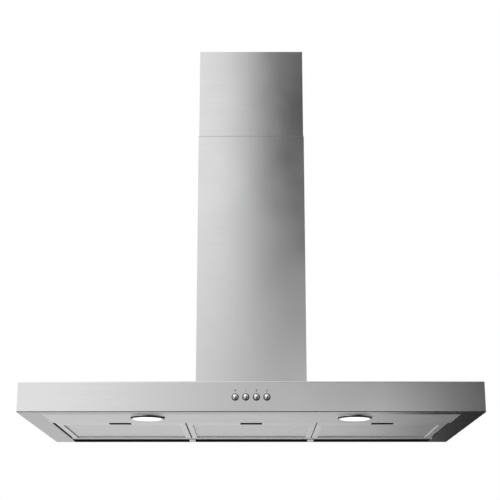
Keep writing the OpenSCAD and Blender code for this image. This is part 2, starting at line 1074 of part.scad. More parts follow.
module scroll_rear() {
    color(zinc)
        at_base()
            scroll_side(axis_y + scroll_half, axis_y + scroll_half + wall_t);
}

// Points along one face of a blade, turned by an angle.
function blade_face(turn) = [
    for (i = [0:blade_steps])
        let (
            share = i / blade_steps,
            r = blade_in + (impeller_r - 1 - blade_in) * share,
            a = blade_sweep * pow(share, 2) + turn
        )
            [r * cos(a), r * sin(a)]
];

// One curved blade of the impeller, drawn around the axis.
module blade_outline() {
    inner = blade_face(0);
    outer = blade_face(blade_deg);
    polygon(concat(inner, [for (i = [blade_steps:-1:0]) outer[i]]));
}

module impeller() {
    color(black)
        at_base()
            translate([0, axis_y, axis_z])
                difference() {
                    union() {
                        along_y(-impeller_l / 2, impeller_l / 2)
                            for (i = [0:blade_count - 1])
                                rotate(i * 360 / blade_count)
                                    blade_outline();
                        for (y = [-impeller_l / 2, impeller_l / 2 - 4])
                            along_y(y, y + 4)
                                difference() {
                                    circle(impeller_r);
                                    circle(impeller_r - 4);
                                }
                        along_y(-1.5, 1.5)
                            circle(impeller_r);
                        along_y(-14, 6)
                            circle(shaft_r + 6);
                    }
                    along_y(-far, far)
                        circle(shaft_r);
                }
}

module motor_shaft() {
    color(chrome)
        at_base()
            translate([0, 0, axis_z])
                along_y(axis_y - 16, motor_y0 + 34)
                    circle(shaft_r);
}

module motor() {
    color(zinc)
        at_base()
            translate([0, motor_y1, axis_z])
                rotate([90, 0, 0])
                    difference() {
                        rotate_extrude()
                            polygon([
                                [0, 0],
                                [motor_r - 8, 0],
                                [motor_r - 3, 5],
                                [motor_r, 8],
                                [motor_r, 36],
                                [motor_r - 3, 39],
                                [motor_r - 10, motor_y1 - motor_y0 - 3],
                                [12, motor_y1 - motor_y0 - 3],
                                [12, motor_y1 - motor_y0],
                                [0, motor_y1 - motor_y0]
                            ]);
                        translate([0, 0, motor_y1 - motor_y0 - 36])
                            cylinder(h = 60, r = shaft_r + shaft_clearance);
                    }
}

// Three arms that carry the motor across the rear inlet.
module motor_arms() {
    color(zinc)
        at_base()
            translate([0, 0, axis_z])
                along_y(motor_y1, motor_y1 + 2.5) {
                    circle(motor_r - 12);
                    difference() {
                        circle(inlet_r + 12);
                        circle(inlet_r + 4);
                    }
                    for (a = [90:120:330])
                        rotate(a)
                            translate([0, -6])
                                square([inlet_r + 6, 12]);
                }
}

// A flat guard over the front inlet: rings tied by three crossing bars.
module inlet_guard() {
    guard_back = axis_y - scroll_half - wall_t - 5;
    color(zinc)
        at_base()
            translate([0, 0, axis_z])
                along_y(guard_back - 2, guard_back) {
                    for (r = [14, 28, 42, inlet_r + 7])
                        difference() {
                            circle(r);
                            circle(r - 2.5);
                        }
                    for (a = [0, 60, 120])
                        rotate(a)
                            square([2 * inlet_r + 12, 2.5], center = true);
                }
}

module capacitor() {
    color(steel)
        at_base()
            translate([56, (wiring_y0 + wiring_y1) / 2, box_top]) {
                cylinder(h = 46, r = 16);
                for (x = [-6, 6])
                    translate([x - 0.8, -3, 45])
                        cube([1.6, 6, 9]);
            }
}

// Wiring box.

module wiring_box() {
    x0 = wiring_x - wiring_w / 2;
    x1 = wiring_x + wiring_w / 2;
    color(black)
        at_base()
            difference() {
                bar([x0, wiring_y0, box_top], [x1, wiring_y1, box_top + wiring_h]);
                bar([x0 + 2, wiring_y0 + 2, box_top + 2], [x1 - 2, wiring_y1 - 2, box_top + wiring_h + 1]);
            }
}

module wiring_lid() {
    x0 = wiring_x - wiring_w / 2;
    x1 = wiring_x + wiring_w / 2;
    color(black)
        at_base()
            difference() {
                bar([x0, wiring_y0, box_top + wiring_h], [x1, wiring_y1, box_top + wiring_h + 3]);
                translate([wiring_x + 20, (wiring_y0 + wiring_y1) / 2, box_top + wiring_h])
                    cylinder(h = 20, r = 6.1, center = true);
            }
}

// The strain-relief gland for the mains cable, in the lid of the wiring box.
module cable_gland() {
    color(black)
        at_base()
            translate([wiring_x + 20, (wiring_y0 + wiring_y1) / 2, box_top + wiring_h + 3])
                rotate_extrude()
                    polygon([
                        [3.5, -10],
                        [6, -10],
                        [6, 0],
                        [11, 0],
                        [11, 4],
                        [9, 5],
                        [9, 14],
                        [6, 18],
                        [3.5, 18]
                    ]);
}

canopy_shell();
back_panel();
lamp_panel();
filter_rails();
rear_rail();
filter_frame_left();
filter_frame_mid();
filter_frame_right();
filter_mesh_left();
filter_mesh_mid();
filter_mesh_right();
filter_latch_left();
filter_latch_mid();
filter_latch_right();
lamp_bezel_left();
lamp_bezel_right();
lamp_lens_left();
lamp_lens_right();
lamp_body_left();
lamp_body_right();
button_1();
button_2();
button_3();
button_4();
button_bezels();
switch_housing();
control_board();
lower_cover();
upper_cover();
top_bracket();
bracket_screws();
blower_box();
box_screws();
scroll_wall();
scroll_front();
scroll_rear();
impeller();
motor_shaft();
motor();
motor_arms();
inlet_guard();
capacitor();
duct_collar();
collar_screws();
damper_pin();
damper_flap_front();
damper_flap_rear();
wiring_box();
wiring_lid();
cable_gland();
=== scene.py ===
import math

import bmesh
import bpy
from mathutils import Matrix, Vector


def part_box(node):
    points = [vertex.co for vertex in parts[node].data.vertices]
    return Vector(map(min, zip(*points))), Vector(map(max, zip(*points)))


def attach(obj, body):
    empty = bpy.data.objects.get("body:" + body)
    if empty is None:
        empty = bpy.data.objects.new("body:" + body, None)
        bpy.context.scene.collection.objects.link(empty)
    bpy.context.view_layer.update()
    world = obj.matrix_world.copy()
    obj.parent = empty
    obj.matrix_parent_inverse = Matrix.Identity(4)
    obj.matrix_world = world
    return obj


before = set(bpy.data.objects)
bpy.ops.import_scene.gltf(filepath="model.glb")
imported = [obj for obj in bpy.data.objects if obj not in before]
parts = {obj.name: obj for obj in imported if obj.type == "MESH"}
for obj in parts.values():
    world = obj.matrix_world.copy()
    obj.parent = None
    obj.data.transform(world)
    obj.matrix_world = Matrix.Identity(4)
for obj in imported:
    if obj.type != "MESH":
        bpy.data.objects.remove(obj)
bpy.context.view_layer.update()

# Eye. The hood hangs on a wall that isn't drawn, and the eye stands in front of
# it, a little below the canopy, and looks up.
EYE_PLACE = (0.004, -2.820, -0.520)
EYE_PITCH = math.radians(15.46)
EYE_TURN = math.radians(0.15)
EYE_LENS_MM = 87.44
EYE_REACH = 200.0

eye_camera = bpy.data.cameras.new("eye")
eye_camera.lens = EYE_LENS_MM
eye_camera.clip_end = EYE_REACH
eye = bpy.data.objects.new("eye", eye_camera)
eye.location = EYE_PLACE
eye.rotation_euler = (math.pi / 2 + EYE_PITCH, 0, EYE_TURN)
bpy.context.scene.collection.objects.link(eye)
bpy.context.scene.camera = eye
bpy.context.scene.view_settings.view_transform = "Standard"


# Room. The camera sees plain white behind the hood. Every other ray sees a room
# that is graded by direction, white on the left and black on the front right,
# because steel shows only what it mirrors, and it runs from pale to dark here.
# Glossy rays see that room too: plain white would leave the steel flat.
ROOM_WHITE = (1.0, 1.0, 1.0, 1)
ROOM_BLACK = (0.01, 0.01, 0.0105, 1)


def feed(tree, value, socket):
    """Puts a value on a socket, or links another node's output to it."""
    if isinstance(value, bpy.types.NodeSocket):
        tree.links.new(value, socket)
    else:
        socket.default_value = value


def ramp(tree, source, span, low, high, smooth=False):
    """A ramp over a source: low at the start of the span, high at its end."""
    node = tree.nodes.new("ShaderNodeMapRange")
    if smooth:
        node.interpolation_type = "SMOOTHSTEP"
    node.inputs["From Min"].default_value = span[0]
    node.inputs["From Max"].default_value = span[1]
    node.inputs["To Min"].default_value = low
    node.inputs["To Max"].default_value = high
    tree.links.new(source, node.inputs["Value"])
    return node.outputs["Result"]


def arithmetic(tree, operation, first, *others):
    """One number from several, with one operation taken from left to right."""
    for other in others or (0.0,):
        node = tree.nodes.new("ShaderNodeMath")
        node.operation = operation
        tree.links.new(first, node.inputs[0])
        feed(tree, other, node.inputs[1])
        first = node.outputs[0]
    return first


def mixed(tree, kind, share, first, second, blend="MIX"):
    """Mixes two colours, vectors or numbers by a share."""
    node = tree.nodes.new("ShaderNodeMix")
    node.data_type = kind
    node.blend_type = blend
    feed(tree, share, node.inputs["Factor"])
    feed(tree, first, node.inputs["A"])
    feed(tree, second, node.inputs["B"])
    return node.outputs["Result"]


room = bpy.data.worlds.new("room")
bpy.context.scene.world = room
room.use_nodes = True
room_tree = room.node_tree
compass = room_tree.nodes.new("ShaderNodeTexCoord")
direction = room_tree.nodes.new("ShaderNodeSeparateXYZ")
room_tree.links.new(compass.outputs["Generated"], direction.inputs[0])
across = direction.outputs["X"]
back = direction.outputs["Y"]
up = direction.outputs["Z"]

# The edge between white and black stands upright a little to the right. In
# front it moves left above the canopy, towards the floor and straight down.
ROOM_EDGE = (0.12, 0.17)
ROOM_FRONT = (0.0, -0.3)
ROOM_HIGH = (0.15, 0.22)
ROOM_HIGH_LEAN = 0.145
ROOM_DEEP = (-0.62, -0.36)
ROOM_DEEP_LEAN = 0.5
ROOM_PIT = (-0.94, -0.74)
ROOM_PIT_LEAN = 1.5
ROOM_BACK = (0.0, 0.3)
ROOM_BACK_LEAN = 0.03

in_front = ramp(room_tree, back, ROOM_FRONT, 0.0, 1.0)
high_lean = ramp(room_tree, up, ROOM_HIGH, 0.0, ROOM_HIGH_LEAN)
deep_lean = ramp(room_tree, up, ROOM_DEEP, ROOM_DEEP_LEAN, 0.0)
pit_lean = ramp(room_tree, up, ROOM_PIT, ROOM_PIT_LEAN, 0.0)
back_lean = ramp(room_tree, back, ROOM_BACK, 0.0, ROOM_BACK_LEAN)
leans = arithmetic(room_tree, "ADD", high_lean, deep_lean, pit_lean)
front_lean = arithmetic(room_tree, "MULTIPLY", leans, in_front)
place_across = arithmetic(room_tree, "ADD", across, front_lean, back_lean)
past_edge = ramp(room_tree, place_across, ROOM_EDGE, 0.0, 1.0, smooth=True)

# The black ends at the sides and overhead, so that the hood also looks like
# steel from the side, from above and from behind.
DARK_LEFT = (-0.62, -0.42)
DARK_LEFT_SHARE = 0.3
DARK_RIGHT = (0.42, 0.62)
DARK_RIGHT_LOSS_BEHIND = 0.50
DARK_RIGHT_LOSS_FRONT = 0.20
DARK_TOP = (0.55, 0.75)

dark_left = ramp(room_tree, across, DARK_LEFT, DARK_LEFT_SHARE, 1.0)
far_right = ramp(room_tree, across, DARK_RIGHT, 0.0, 1.0)
right_loss = ramp(
    room_tree, back, ROOM_FRONT, DARK_RIGHT_LOSS_BEHIND, DARK_RIGHT_LOSS_FRONT
)
lost_right = arithmetic(room_tree, "MULTIPLY", far_right, right_loss)
dark_right = ramp(room_tree, lost_right, (0.0, 1.0), 1.0, 0.0)
dark_height = ramp(room_tree, up, DARK_TOP, 1.0, 0.0)
dark_reach = arithmetic(room_tree, "MULTIPLY", dark_left, dark_right, dark_height)
dark_share = arithmetic(room_tree, "MULTIPLY", past_edge, dark_reach)
edge_tone = mixed(room_tree, "RGBA", dark_share, ROOM_WHITE, ROOM_BLACK)

# The white side dims a little below the canopy, overhead and on the far left,
# and a soft grey band stands in the middle, where the steel has its half tone.
LOW_SHARE = 0.78
LOW_RISE = (-0.09, 0.02)
TOP_SHARE = 0.82
TOP_RISE = (0.34, 0.44)
FAR_LEFT_SHARE = 0.60
FAR_LEFT = (-0.95, -0.28)
BAND_TONE = (0.54, 0.54, 0.54, 1)
BAND_LEFT = (-0.14, -0.02)
BAND_RIGHT = (0.01, 0.09)
BAND_TOP = (0.31, 0.18)

low_share = ramp(room_tree, up, LOW_RISE, LOW_SHARE, 1.0)
top_share = ramp(room_tree, up, TOP_RISE, 1.0, TOP_SHARE)
left_share = ramp(room_tree, across, FAR_LEFT, FAR_LEFT_SHARE, 1.0)
dimming = arithmetic(room_tree, "MULTIPLY", low_share, top_share, left_share)
dimmed_tone = mixed(room_tree, "RGBA", 1.0, edge_tone, dimming, blend="MULTIPLY")
band_left = ramp(room_tree, across, BAND_LEFT, 0.0, 1.0)
band_right = ramp(room_tree, across, BAND_RIGHT, 1.0, 0.0)
band_height = ramp(room_tree, up, BAND_TOP, 0.0, 1.0)
band_share = arithmetic(
    room_tree, "MULTIPLY", band_left, band_right, band_height, in_front
)
room_tone = mixed(
    room_tree, "RGBA", band_share, dimmed_tone, BAND_TONE, blend="MULTIPLY"
)
ray_kind = room_tree.nodes.new("ShaderNodeLightPath")
seen_tone = mixed(
    room_tree, "RGBA", ray_kind.outputs["Is Camera Ray"], room_tone, ROOM_WHITE
)
room_tree.links.new(seen_tone, room_tree.nodes["Background"].inputs["Color"])


# Floor. A pale floor far below the hood, which lights it softly from beneath.
# It is hidden from glossy rays, so that the steel mirrors only the graded room,
# and is clear from below, so that the underside can be looked at.
FLOOR_SIZE = 60.0
FLOOR_Z = -1.12
FLOOR_TONE = (0.86, 0.86, 0.86, 1)
FLOOR_ROUGHNESS = 0.8
FLOOR_GLOW = 0.30


def new_finish(name):
    """A material with its node tree and its main shader."""
    finish = bpy.data.materials.new(name)
    finish.use_nodes = True
    tree = finish.node_tree
    return finish, tree, tree.nodes["Principled BSDF"]


def mesh_piece(name, bm, finish):
    """Turns a bmesh into an object in the scene with one material."""
    mesh = bpy.data.meshes.new(name)
    bm.to_mesh(mesh)
    bm.free()
    mesh.materials.append(finish)
    piece = bpy.data.objects.new(name, mesh)
    bpy.context.scene.collection.objects.link(piece)
    return piece


floor_paint, tree, shader = new_finish("floor_paint")
shader.inputs["Base Color"].default_value = FLOOR_TONE
shader.inputs["Roughness"].default_value = FLOOR_ROUGHNESS
shader.inputs["Emission Color"].default_value = ROOM_WHITE
floor_ray = tree.nodes.new("ShaderNodeLightPath")
floor_glow = arithmetic(
    tree, "MULTIPLY", floor_ray.outputs["Is Camera Ray"], FLOOR_GLOW
)
tree.links.new(floor_glow, shader.inputs["Emission Strength"])
floor_side = tree.nodes.new("ShaderNodeNewGeometry")
floor_clear = tree.nodes.new("ShaderNodeBsdfTransparent")
floor_mix = tree.nodes.new("ShaderNodeMixShader")
tree.links.new(floor_side.outputs["Backfacing"], floor_mix.inputs["Fac"])
tree.links.new(shader.outputs["BSDF"], floor_mix.inputs[1])
tree.links.new(floor_clear.outputs["BSDF"], floor_mix.inputs[2])
tree.links.new(
    floor_mix.outputs["Shader"], tree.nodes["Material Output"].inputs["Surface"]
)

floor_bm = bmesh.new()
bmesh.ops.create_grid(floor_bm, x_segments=1, y_segments=1, size=FLOOR_SIZE / 2)
floor = mesh_piece("floor", floor_bm, floor_paint)
floor.location = (0, 0, FLOOR_Z)
floor.visible_glossy = False


# Soft light. A broad window of light from the upper left in front, which puts
# the bright spot on the buttons.
LIGHT_SIZE = 2.4
LIGHT_POWER = 25
LIGHT_PLACE = (-1.6, -2.0, 2.6)
LIGHT_AIM = Vector((0, -0.2, 0))

light_data = bpy.data.lights.new("soft_light", "AREA")
light_data.shape = "RECTANGLE"
light_data.size = LIGHT_SIZE
light_data.size_y = LIGHT_SIZE
light_data.energy = LIGHT_POWER
soft_light = bpy.data.objects.new("soft_light", light_data)
soft_light.location = LIGHT_PLACE
light_way = LIGHT_AIM - soft_light.location
soft_light.rotation_euler = light_way.to_track_quat("-Z", "Y").to_euler()
bpy.context.scene.collection.objects.link(soft_light)


# Canopy. Folded from one sheet of brushed stainless steel, with the grain from
# side to side; on the two ends it runs from front to rear. The plain strips
# round the underside have a duller finish than the faces, and every face that
# looks down is coloured darker: painted shade.
GRAIN_FINE = 1400.0
GRAIN_LONG = 5.0
STREAK_DETAIL = 3.0
STREAK_DARK = (0.93, 0.93, 0.935)
STREAK_LIGHT = (1.05, 1.05, 1.055)
STREAK_STRENGTH = 0.05
STREAK_DEPTH = 0.0001
SMUDGE_SCALE = 7.0
SMUDGE_DETAIL = 4.0
SMUDGE_SPAN = (0.25, 0.75)
SMUDGE_LESS = 0.02
SMUDGE_MORE = 0.03
HALF_TURNED = math.cos(math.radians(45))


def faces_that_look(tree, way, either_way=True):
    """1 on the faces that look along a direction, or also against it; else 0."""
    geometry = tree.nodes.new("ShaderNodeNewGeometry")
    agree = tree.nodes.new("ShaderNodeVectorMath")
    agree.operation = "DOT_PRODUCT"
    agree.inputs[1].default_value = way
    tree.links.new(geometry.outputs["Normal"], agree.inputs[0])
    facing = agree.outputs["Value"]
    if either_way:
        facing = arithmetic(tree, "ABSOLUTE", facing)
    return arithmetic(tree, "GREATER_THAN", facing, HALF_TURNED)


def own_place(tree):
    """The place on the piece itself, so that a pattern moves with it."""
    return tree.nodes.new("ShaderNodeTexCoord").outputs["Object"]


def noise(tree, place, scale, detail=2.0):
    """A soft random pattern, as a number from 0 to 1."""
    node = tree.nodes.new("ShaderNodeTexNoise")
    node.inputs["Scale"].default_value = scale
    node.inputs["Detail"].default_value = detail
    tree.links.new(place, node.inputs["Vector"])
    return node.outputs["Fac"]


def relief(tree, shader, height, strength, depth):
    """Gives a shader fine relief from a height."""
    bump = tree.nodes.new("ShaderNodeBump")
    bump.inputs["Strength"].default_value = strength
    bump.inputs["Distance"].default_value = depth
    tree.links.new(height, bump.inputs["Height"])
    tree.links.new(bump.outputs["Normal"], shader.inputs["Normal"])


def brushed_steel(name, tone, spread, stretch, strip_spread=None, strip_shade_share=None):
    """Brushed sheet: streaks along the grain, soft smudges and a stretched shine."""
    finish, tree, shader = new_finish(name)
    sideways = faces_that_look(tree, (1, 0, 0))
    level = faces_that_look(tree, (0, 0, 1))
    place = own_place(tree)
    grain_across = (GRAIN_LONG, GRAIN_FINE, GRAIN_FINE)
    grain_inwards = (GRAIN_FINE, GRAIN_LONG, GRAIN_FINE)
    grain_scale = mixed(tree, "VECTOR", sideways, grain_across, grain_inwards)
    shine = mixed(tree, "VECTOR", level, (0.0, 0.0, 1.0), (0.0, 1.0, 0.0))
    scaled = tree.nodes.new("ShaderNodeVectorMath")
    scaled.operation = "MULTIPLY"
    tree.links.new(place, scaled.inputs[0])
    tree.links.new(grain_scale, scaled.inputs[1])
    streaks = noise(tree, scaled.outputs[0], 1.0, STREAK_DETAIL)
    smudges = noise(tree, place, SMUDGE_SCALE, SMUDGE_DETAIL)
    dark = tuple(tone * share for share in STREAK_DARK) + (1,)
    light = tuple(tone * share for share in STREAK_LIGHT) + (1,)
    colour = mixed(tree, "RGBA", streaks, dark, light)
    roughness = ramp(
        tree, smudges, SMUDGE_SPAN, spread - SMUDGE_LESS, spread + SMUDGE_MORE
    )
    if strip_spread is not None:
        # Faces that look down get their own roughness, and their colour is multiplied
        # down: painted shade on the underside.
        under = faces_that_look(tree, (0, 0, -1), either_way=False)
        roughness = mixed(tree, "FLOAT", under, roughness, strip_spread)
        underside_shade = (strip_shade_share, strip_shade_share, strip_shade_share, 1)
        colour = mixed(tree, "RGBA", under, colour, underside_shade, blend="MULTIPLY")
    tree.links.new(colour, shader.inputs["Base Color"])
    tree.links.new(roughness, shader.inputs["Roughness"])
    tree.links.new(shine, shader.inputs["Tangent"])
    relief(tree, shader, streaks, STREAK_STRENGTH, STREAK_DEPTH)
    shader.inputs["Metallic"].default_value = 1.0
    shader.inputs["Anisotropic"].default_value = stretch
    return finish


def dress(finish, *names):
    """Gives CAD nodes a finish in place of their plain one."""
    for name in names:
        for place in parts[name].material_slots:
            place.material = finish


canopy_steel = brushed_steel(
    "canopy_steel",
    tone=0.79,
    spread=0.20,
    stretch=0.3,
    strip_spread=0.26,
    strip_shade_share=0.58,
)
dress(canopy_steel, "canopy_shell")


# Blower box, top bracket, motor arms and inlet guard. Plain galvanised sheet,
# cut and folded, with the pale crystal pattern that the zinc leaves.
ZINC_LIGHT = (0.62, 0.63, 0.64, 1)
ZINC_DARK = (0.44, 0.45, 0.47, 1)
ZINC_CRYSTALS = 90.0
ZINC_SMOOTH = 0.32
ZINC_ROUGH = 0.5

galvanised, tree, shader = new_finish("galvanised")
crystals = tree.nodes.new("ShaderNodeTexVoronoi")
crystals.inputs["Scale"].default_value = ZINC_CRYSTALS
tree.links.new(own_place(tree), crystals.inputs["Vector"])
crystal_split = tree.nodes.new("ShaderNodeSeparateColor")
tree.links.new(crystals.outputs["Color"], crystal_split.inputs[0])
crystal_tone, crystal_shine = crystal_split.outputs[0], crystal_split.outputs[1]
zinc_tone = mixed(tree, "RGBA", crystal_tone, ZINC_DARK, ZINC_LIGHT)
zinc_roughness = ramp(tree, crystal_shine, (0.0, 1.0), ZINC_SMOOTH, ZINC_ROUGH)
tree.links.new(zinc_tone, shader.inputs["Base Color"])
tree.links.new(zinc_roughness, shader.inputs["Roughness"])
shader.inputs["Metallic"].default_value = 1.0
dress(galvanised, "blower_box", "top_bracket", "motor_arms", "inlet_guard")


# Underside. The lamp panel, the filter rails and the rear rail are folded from
# brushed sheet with the grain from side to side. The rear rail, which the
# filters hook on, is coloured darker than the rest: painted shade of the slot
# at the rear.
under_steel = brushed_steel("under_steel", tone=0.88, spread=0.44, stretch=0.5)
dress(under_steel, "lamp_panel", "filter_rails")
# The rear rail's lower tone is painted shade.
painted_shade_rail_steel = brushed_steel("painted_shade_rail_steel", tone=0.68, spread=0.40, stretch=0.5)
dress(painted_shade_rail_steel, "rear_rail")


# Grease filters. A folded rim of brushed stainless steel holds a pack of
# expanded aluminium mesh, whose diamonds stand a little proud. The openings
# between the wires are coloured darker: painted shade of the layers behind.
MESH_CELL = 260.0
MESH_CELL_SQUASH = 1.7
MESH_TURN = math.radians(45)
MESH_UNEVEN = 0.15
MESH_WIRE = (0.08, 0.22)
MESH_LIGHT = (0.84, 0.84, 0.84, 1)
MESH_OPENING_SHADE = (0.62, 0.62, 0.63, 1)
MESH_STRENGTH = 0.25
MESH_DEPTH = 0.0006
MESH_ROUGHNESS = 0.36

rim_steel = brushed_steel("rim_steel", tone=0.88, spread=0.40, stretch=0.5)
dress(rim_steel, "filter_frame_left", "filter_frame_mid", "filter_frame_right")

filter_mesh, tree, shader = new_finish("filter_mesh")
turned = tree.nodes.new("ShaderNodeMapping")
turned.inputs["Rotation"].default_value = (0, 0, MESH_TURN)
turned.inputs["Scale"].default_value = (
    MESH_CELL,
    MESH_CELL * MESH_CELL_SQUASH,
    MESH_CELL,
)
tree.links.new(own_place(tree), turned.inputs["Vector"])
cells = tree.nodes.new("ShaderNodeTexVoronoi")
cells.feature = "DISTANCE_TO_EDGE"
cells.inputs["Scale"].default_value = 1.0
cells.inputs["Randomness"].default_value = MESH_UNEVEN
tree.links.new(turned.outputs["Vector"], cells.inputs["Vector"])
wire = ramp(tree, cells.outputs["Distance"], MESH_WIRE, 1.0, 0.0)
# Darker between the wires: painted shade in the openings of the mesh.
mesh_tone = mixed(tree, "RGBA", wire, MESH_OPENING_SHADE, MESH_LIGHT)
tree.links.new(mesh_tone, shader.inputs["Base Color"])
relief(tree, shader, wire, MESH_STRENGTH, MESH_DEPTH)
shader.inputs["Metallic"].default_value = 1.0
shader.inputs["Roughness"].default_value = MESH_ROUGHNESS
dress(filter_mesh, "filter_mesh_left", "filter_mesh_mid", "filter_mesh_right")


# Back panel. Steel sheet against the wall, coloured black as painted shade; it
# shows as a dark line through the slot behind the rear rail.
MOTTLE_DARK = 0.85
MOTTLE_LIGHT = 1.12
GRAIN_STRENGTH = 0.2


def moulded(name, tone, rough, grain, depth, gloss=0.5):
    """Moulding or paint: one tone with faint mottling and a fine grain."""
    finish, tree, shader = new_finish(name)
    grains = noise(tree, own_place(tree), grain)
    dark = tuple(c * MOTTLE_DARK for c in tone) + (1,)
    light = tuple(c * MOTTLE_LIGHT for c in tone) + (1,)
    tree.links.new(mixed(tree, "RGBA", grains, dark, light), shader.inputs["Base Color"])
    relief(tree, shader, grains, GRAIN_STRENGTH, depth)
    shader.inputs["Roughness"].default_value = rough
    shader.inputs["Specular IOR Level"].default_value = gloss
    return finish


# Black here is painted shade of the slot, not the sheet's own colour.
panel_painted_shade = moulded(
    "panel_painted_shade", tone=(0.012, 0.012, 0.0125), rough=0.55, grain=700.0, depth=0.00004
)
dress(panel_painted_shade, "back_panel")


# Filter latches. A flat black tongue slides in the frame, with its grip turned
# down into a slot; its plastic is black, made darker still as painted shade in
# the slot. The cut edge of the slot is lined with a black moulding, which also
# covers the seat of the grip behind the slot: painted shade of the finger slot.
LINER_W = 0.0427
LINER_L = 0.0197
LINER_WALL = 0.0007
LINER_H = 0.0012
LINER_RIM = 0.0009
LINER_PAD = 0.0095
LINER_THICK = 0.0005
SLOT_FROM_EDGE = 0.00315

latch_plastic = moulded(
    "latch_plastic",
    tone=(0.008, 0.008, 0.0085),
    rough=0.6,
    grain=1800.0,
    depth=0.00005,
    gloss=0.0,
)
dress(latch_plastic, "filter_latch_left", "filter_latch_mid", "filter_latch_right")


def rectangle(x_half, y_near, y_far):
    """Four corners of a flat rectangle about the middle of a filter."""
    return [(-x_half, y_near), (x_half, y_near), (x_half, y_far), (-x_half, y_far)]


def ring_of(bm, loops):
    """Joins closed loops of points one to the next, and the last to the first."""
    for k, here in enumerate(loops):
        there = loops[(k + 1) % len(loops)]
        for i in range(len(here)):
            j = (i + 1) % len(here)
            bm.faces.new((here[i], here[j], there[j], there[i]))
    bmesh.ops.recalc_face_normals(bm, faces=bm.faces)


for place in ("left", "mid", "right"):
    low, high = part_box("filter_frame_" + place)
    near = low.y + SLOT_FROM_EDGE
    far = near + LINER_L
    hole = rectangle(LINER_W / 2 - LINER_WALL, near + LINER_WALL, far - LINER_WALL)
    wall = rectangle(LINER_W / 2, near, far)
    rim = rectangle(LINER_W / 2 + LINER_RIM, near - LINER_RIM, far + LINER_PAD)
    outline = (
        (rim, low.z),
        (rim, low.z - LINER_THICK),
        (hole, low.z - LINER_THICK),
        (hole, low.z + LINER_H),
        (wall, low.z + LINER_H),
        (wall, low.z),
    )
    bm = bmesh.new()
    ring_of(bm, [[bm.verts.new((x, y, z)) for x, y in corners] for corners, z in outline])
    # The black lining is painted shade of the finger slot.
    slot_shade_lining = mesh_piece("slot_shade_lining_" + place, bm, latch_plastic)
    slot_shade_lining.location.x = (low.x + high.x) / 2
    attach(slot_shade_lining, "filter_" + place)


# Lamps. A turned and plated ring holds a frosted lens that is lit from behind,
# and a cast can above it carries the heat away. A thin black band round the
# wall of the plated ring is painted shade.
TURNING_MARKS = 900.0
TURNING_SPREAD = 0.06
SHADE_RING_IN = 0.0031
SHADE_RING_OUT = 0.0015
SHADE_RING_LOW = 0.0005
SHADE_RING_HIGH = 0.0028
SHADE_RING_STEPS = 96
LENS_TONE = (0.93, 0.93, 0.91, 1)
LENS_LIGHT = (1.0, 0.99, 0.96, 1)
LENS_GLOW = 1.0
LENS_ROUGHNESS = 0.35
FROST_SCALE = 700.0
FROST_STRENGTH = 0.15
FROST_DEPTH = 0.0002


def plated(name, tone, rough):
    """Bright plating over turned metal, with the faintest turning marks."""
    finish, tree, shader = new_finish(name)
    marks = noise(tree, own_place(tree), TURNING_MARKS)
    roughness = ramp(tree, marks, (0.0, 1.0), rough, rough + TURNING_SPREAD)
    tree.links.new(roughness, shader.inputs["Roughness"])
    shader.inputs["Base Color"].default_value = tone + (1,)
    shader.inputs["Metallic"].default_value = 1.0
    return finish


chrome = plated("chrome", tone=(0.86, 0.86, 0.87), rough=0.08)
dress(chrome, "lamp_bezel_left", "lamp_bezel_right")

# Black band round each lamp ring: painted shade.
ring_shade_black = moulded(
    "ring_shade_black", tone=(0.012, 0.012, 0.012), rough=0.8, grain=2200.0, depth=0.00003
)
for side in ("left", "right"):
    low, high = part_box("lamp_bezel_" + side)
    bezel_r = (high.x - low.x) / 2
    outline = (
        (bezel_r - SHADE_RING_IN, SHADE_RING_LOW),
        (bezel_r - SHADE_RING_OUT, SHADE_RING_LOW),
        (bezel_r - SHADE_RING_OUT, SHADE_RING_HIGH),
        (bezel_r - SHADE_RING_IN, SHADE_RING_HIGH),
    )
    bm = bmesh.new()
    angles = [2 * math.pi * i / SHADE_RING_STEPS for i in range(SHADE_RING_STEPS)]
    ring_of(bm, [
        [bm.verts.new((r * math.cos(a), r * math.sin(a), z)) for r, z in outline]
        for a in angles
    ])
    shade_ring = mesh_piece("lamp_shade_ring_" + side, bm, ring_shade_black)
    shade_ring.location = ((low.x + high.x) / 2, (low.y + high.y) / 2, low.z)
    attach(shade_ring, "hood")

lens_glass, tree, shader = new_finish("lens_glass")
shader.inputs["Base Color"].default_value = LENS_TONE
shader.inputs["Roughness"].default_value = LENS_ROUGHNESS
shader.inputs["Emission Color"].default_value = LENS_LIGHT
shader.inputs["Emission Strength"].default_value = LENS_GLOW
frost = noise(tree, own_place(tree), FROST_SCALE)
relief(tree, shader, frost, FROST_STRENGTH, FROST_DEPTH)
dress(lens_glass, "lamp_lens_left", "lamp_lens_right")

cast_metal = plated("cast_metal", tone=(0.55, 0.55, 0.56), rough=0.42)
dress(cast_metal, "lamp_body_left", "lamp_body_right")


# Push buttons. Four bright plated domes in near-black plated rings, which are
# pressed into the front of the canopy; the rings' dark tone is painted shade
# round each dome. A small sign is printed over each.
SIGN_SIZE = 0.0056
SIGN_RISE = 0.0110
SIGN_PROUD = 0.00006
SIGN_WEIGHT = 0.00015
INK_GRAIN = 3000.0
INK_DARK = (0.015, 0.015, 0.016, 1)
INK_LIGHT = (0.03, 0.03, 0.032, 1)
INK_ROUGHNESS = 0.6
BUTTON_NAMES = ("button_1", "button_2", "button_3", "button_4")

dress(chrome, *BUTTON_NAMES)
# Near-black rings: painted shade round each dome.
bezel_shade_plating = plated("bezel_shade_plating", tone=(0.018, 0.018, 0.019), rough=0.16)
dress(bezel_shade_plating, "button_bezels")

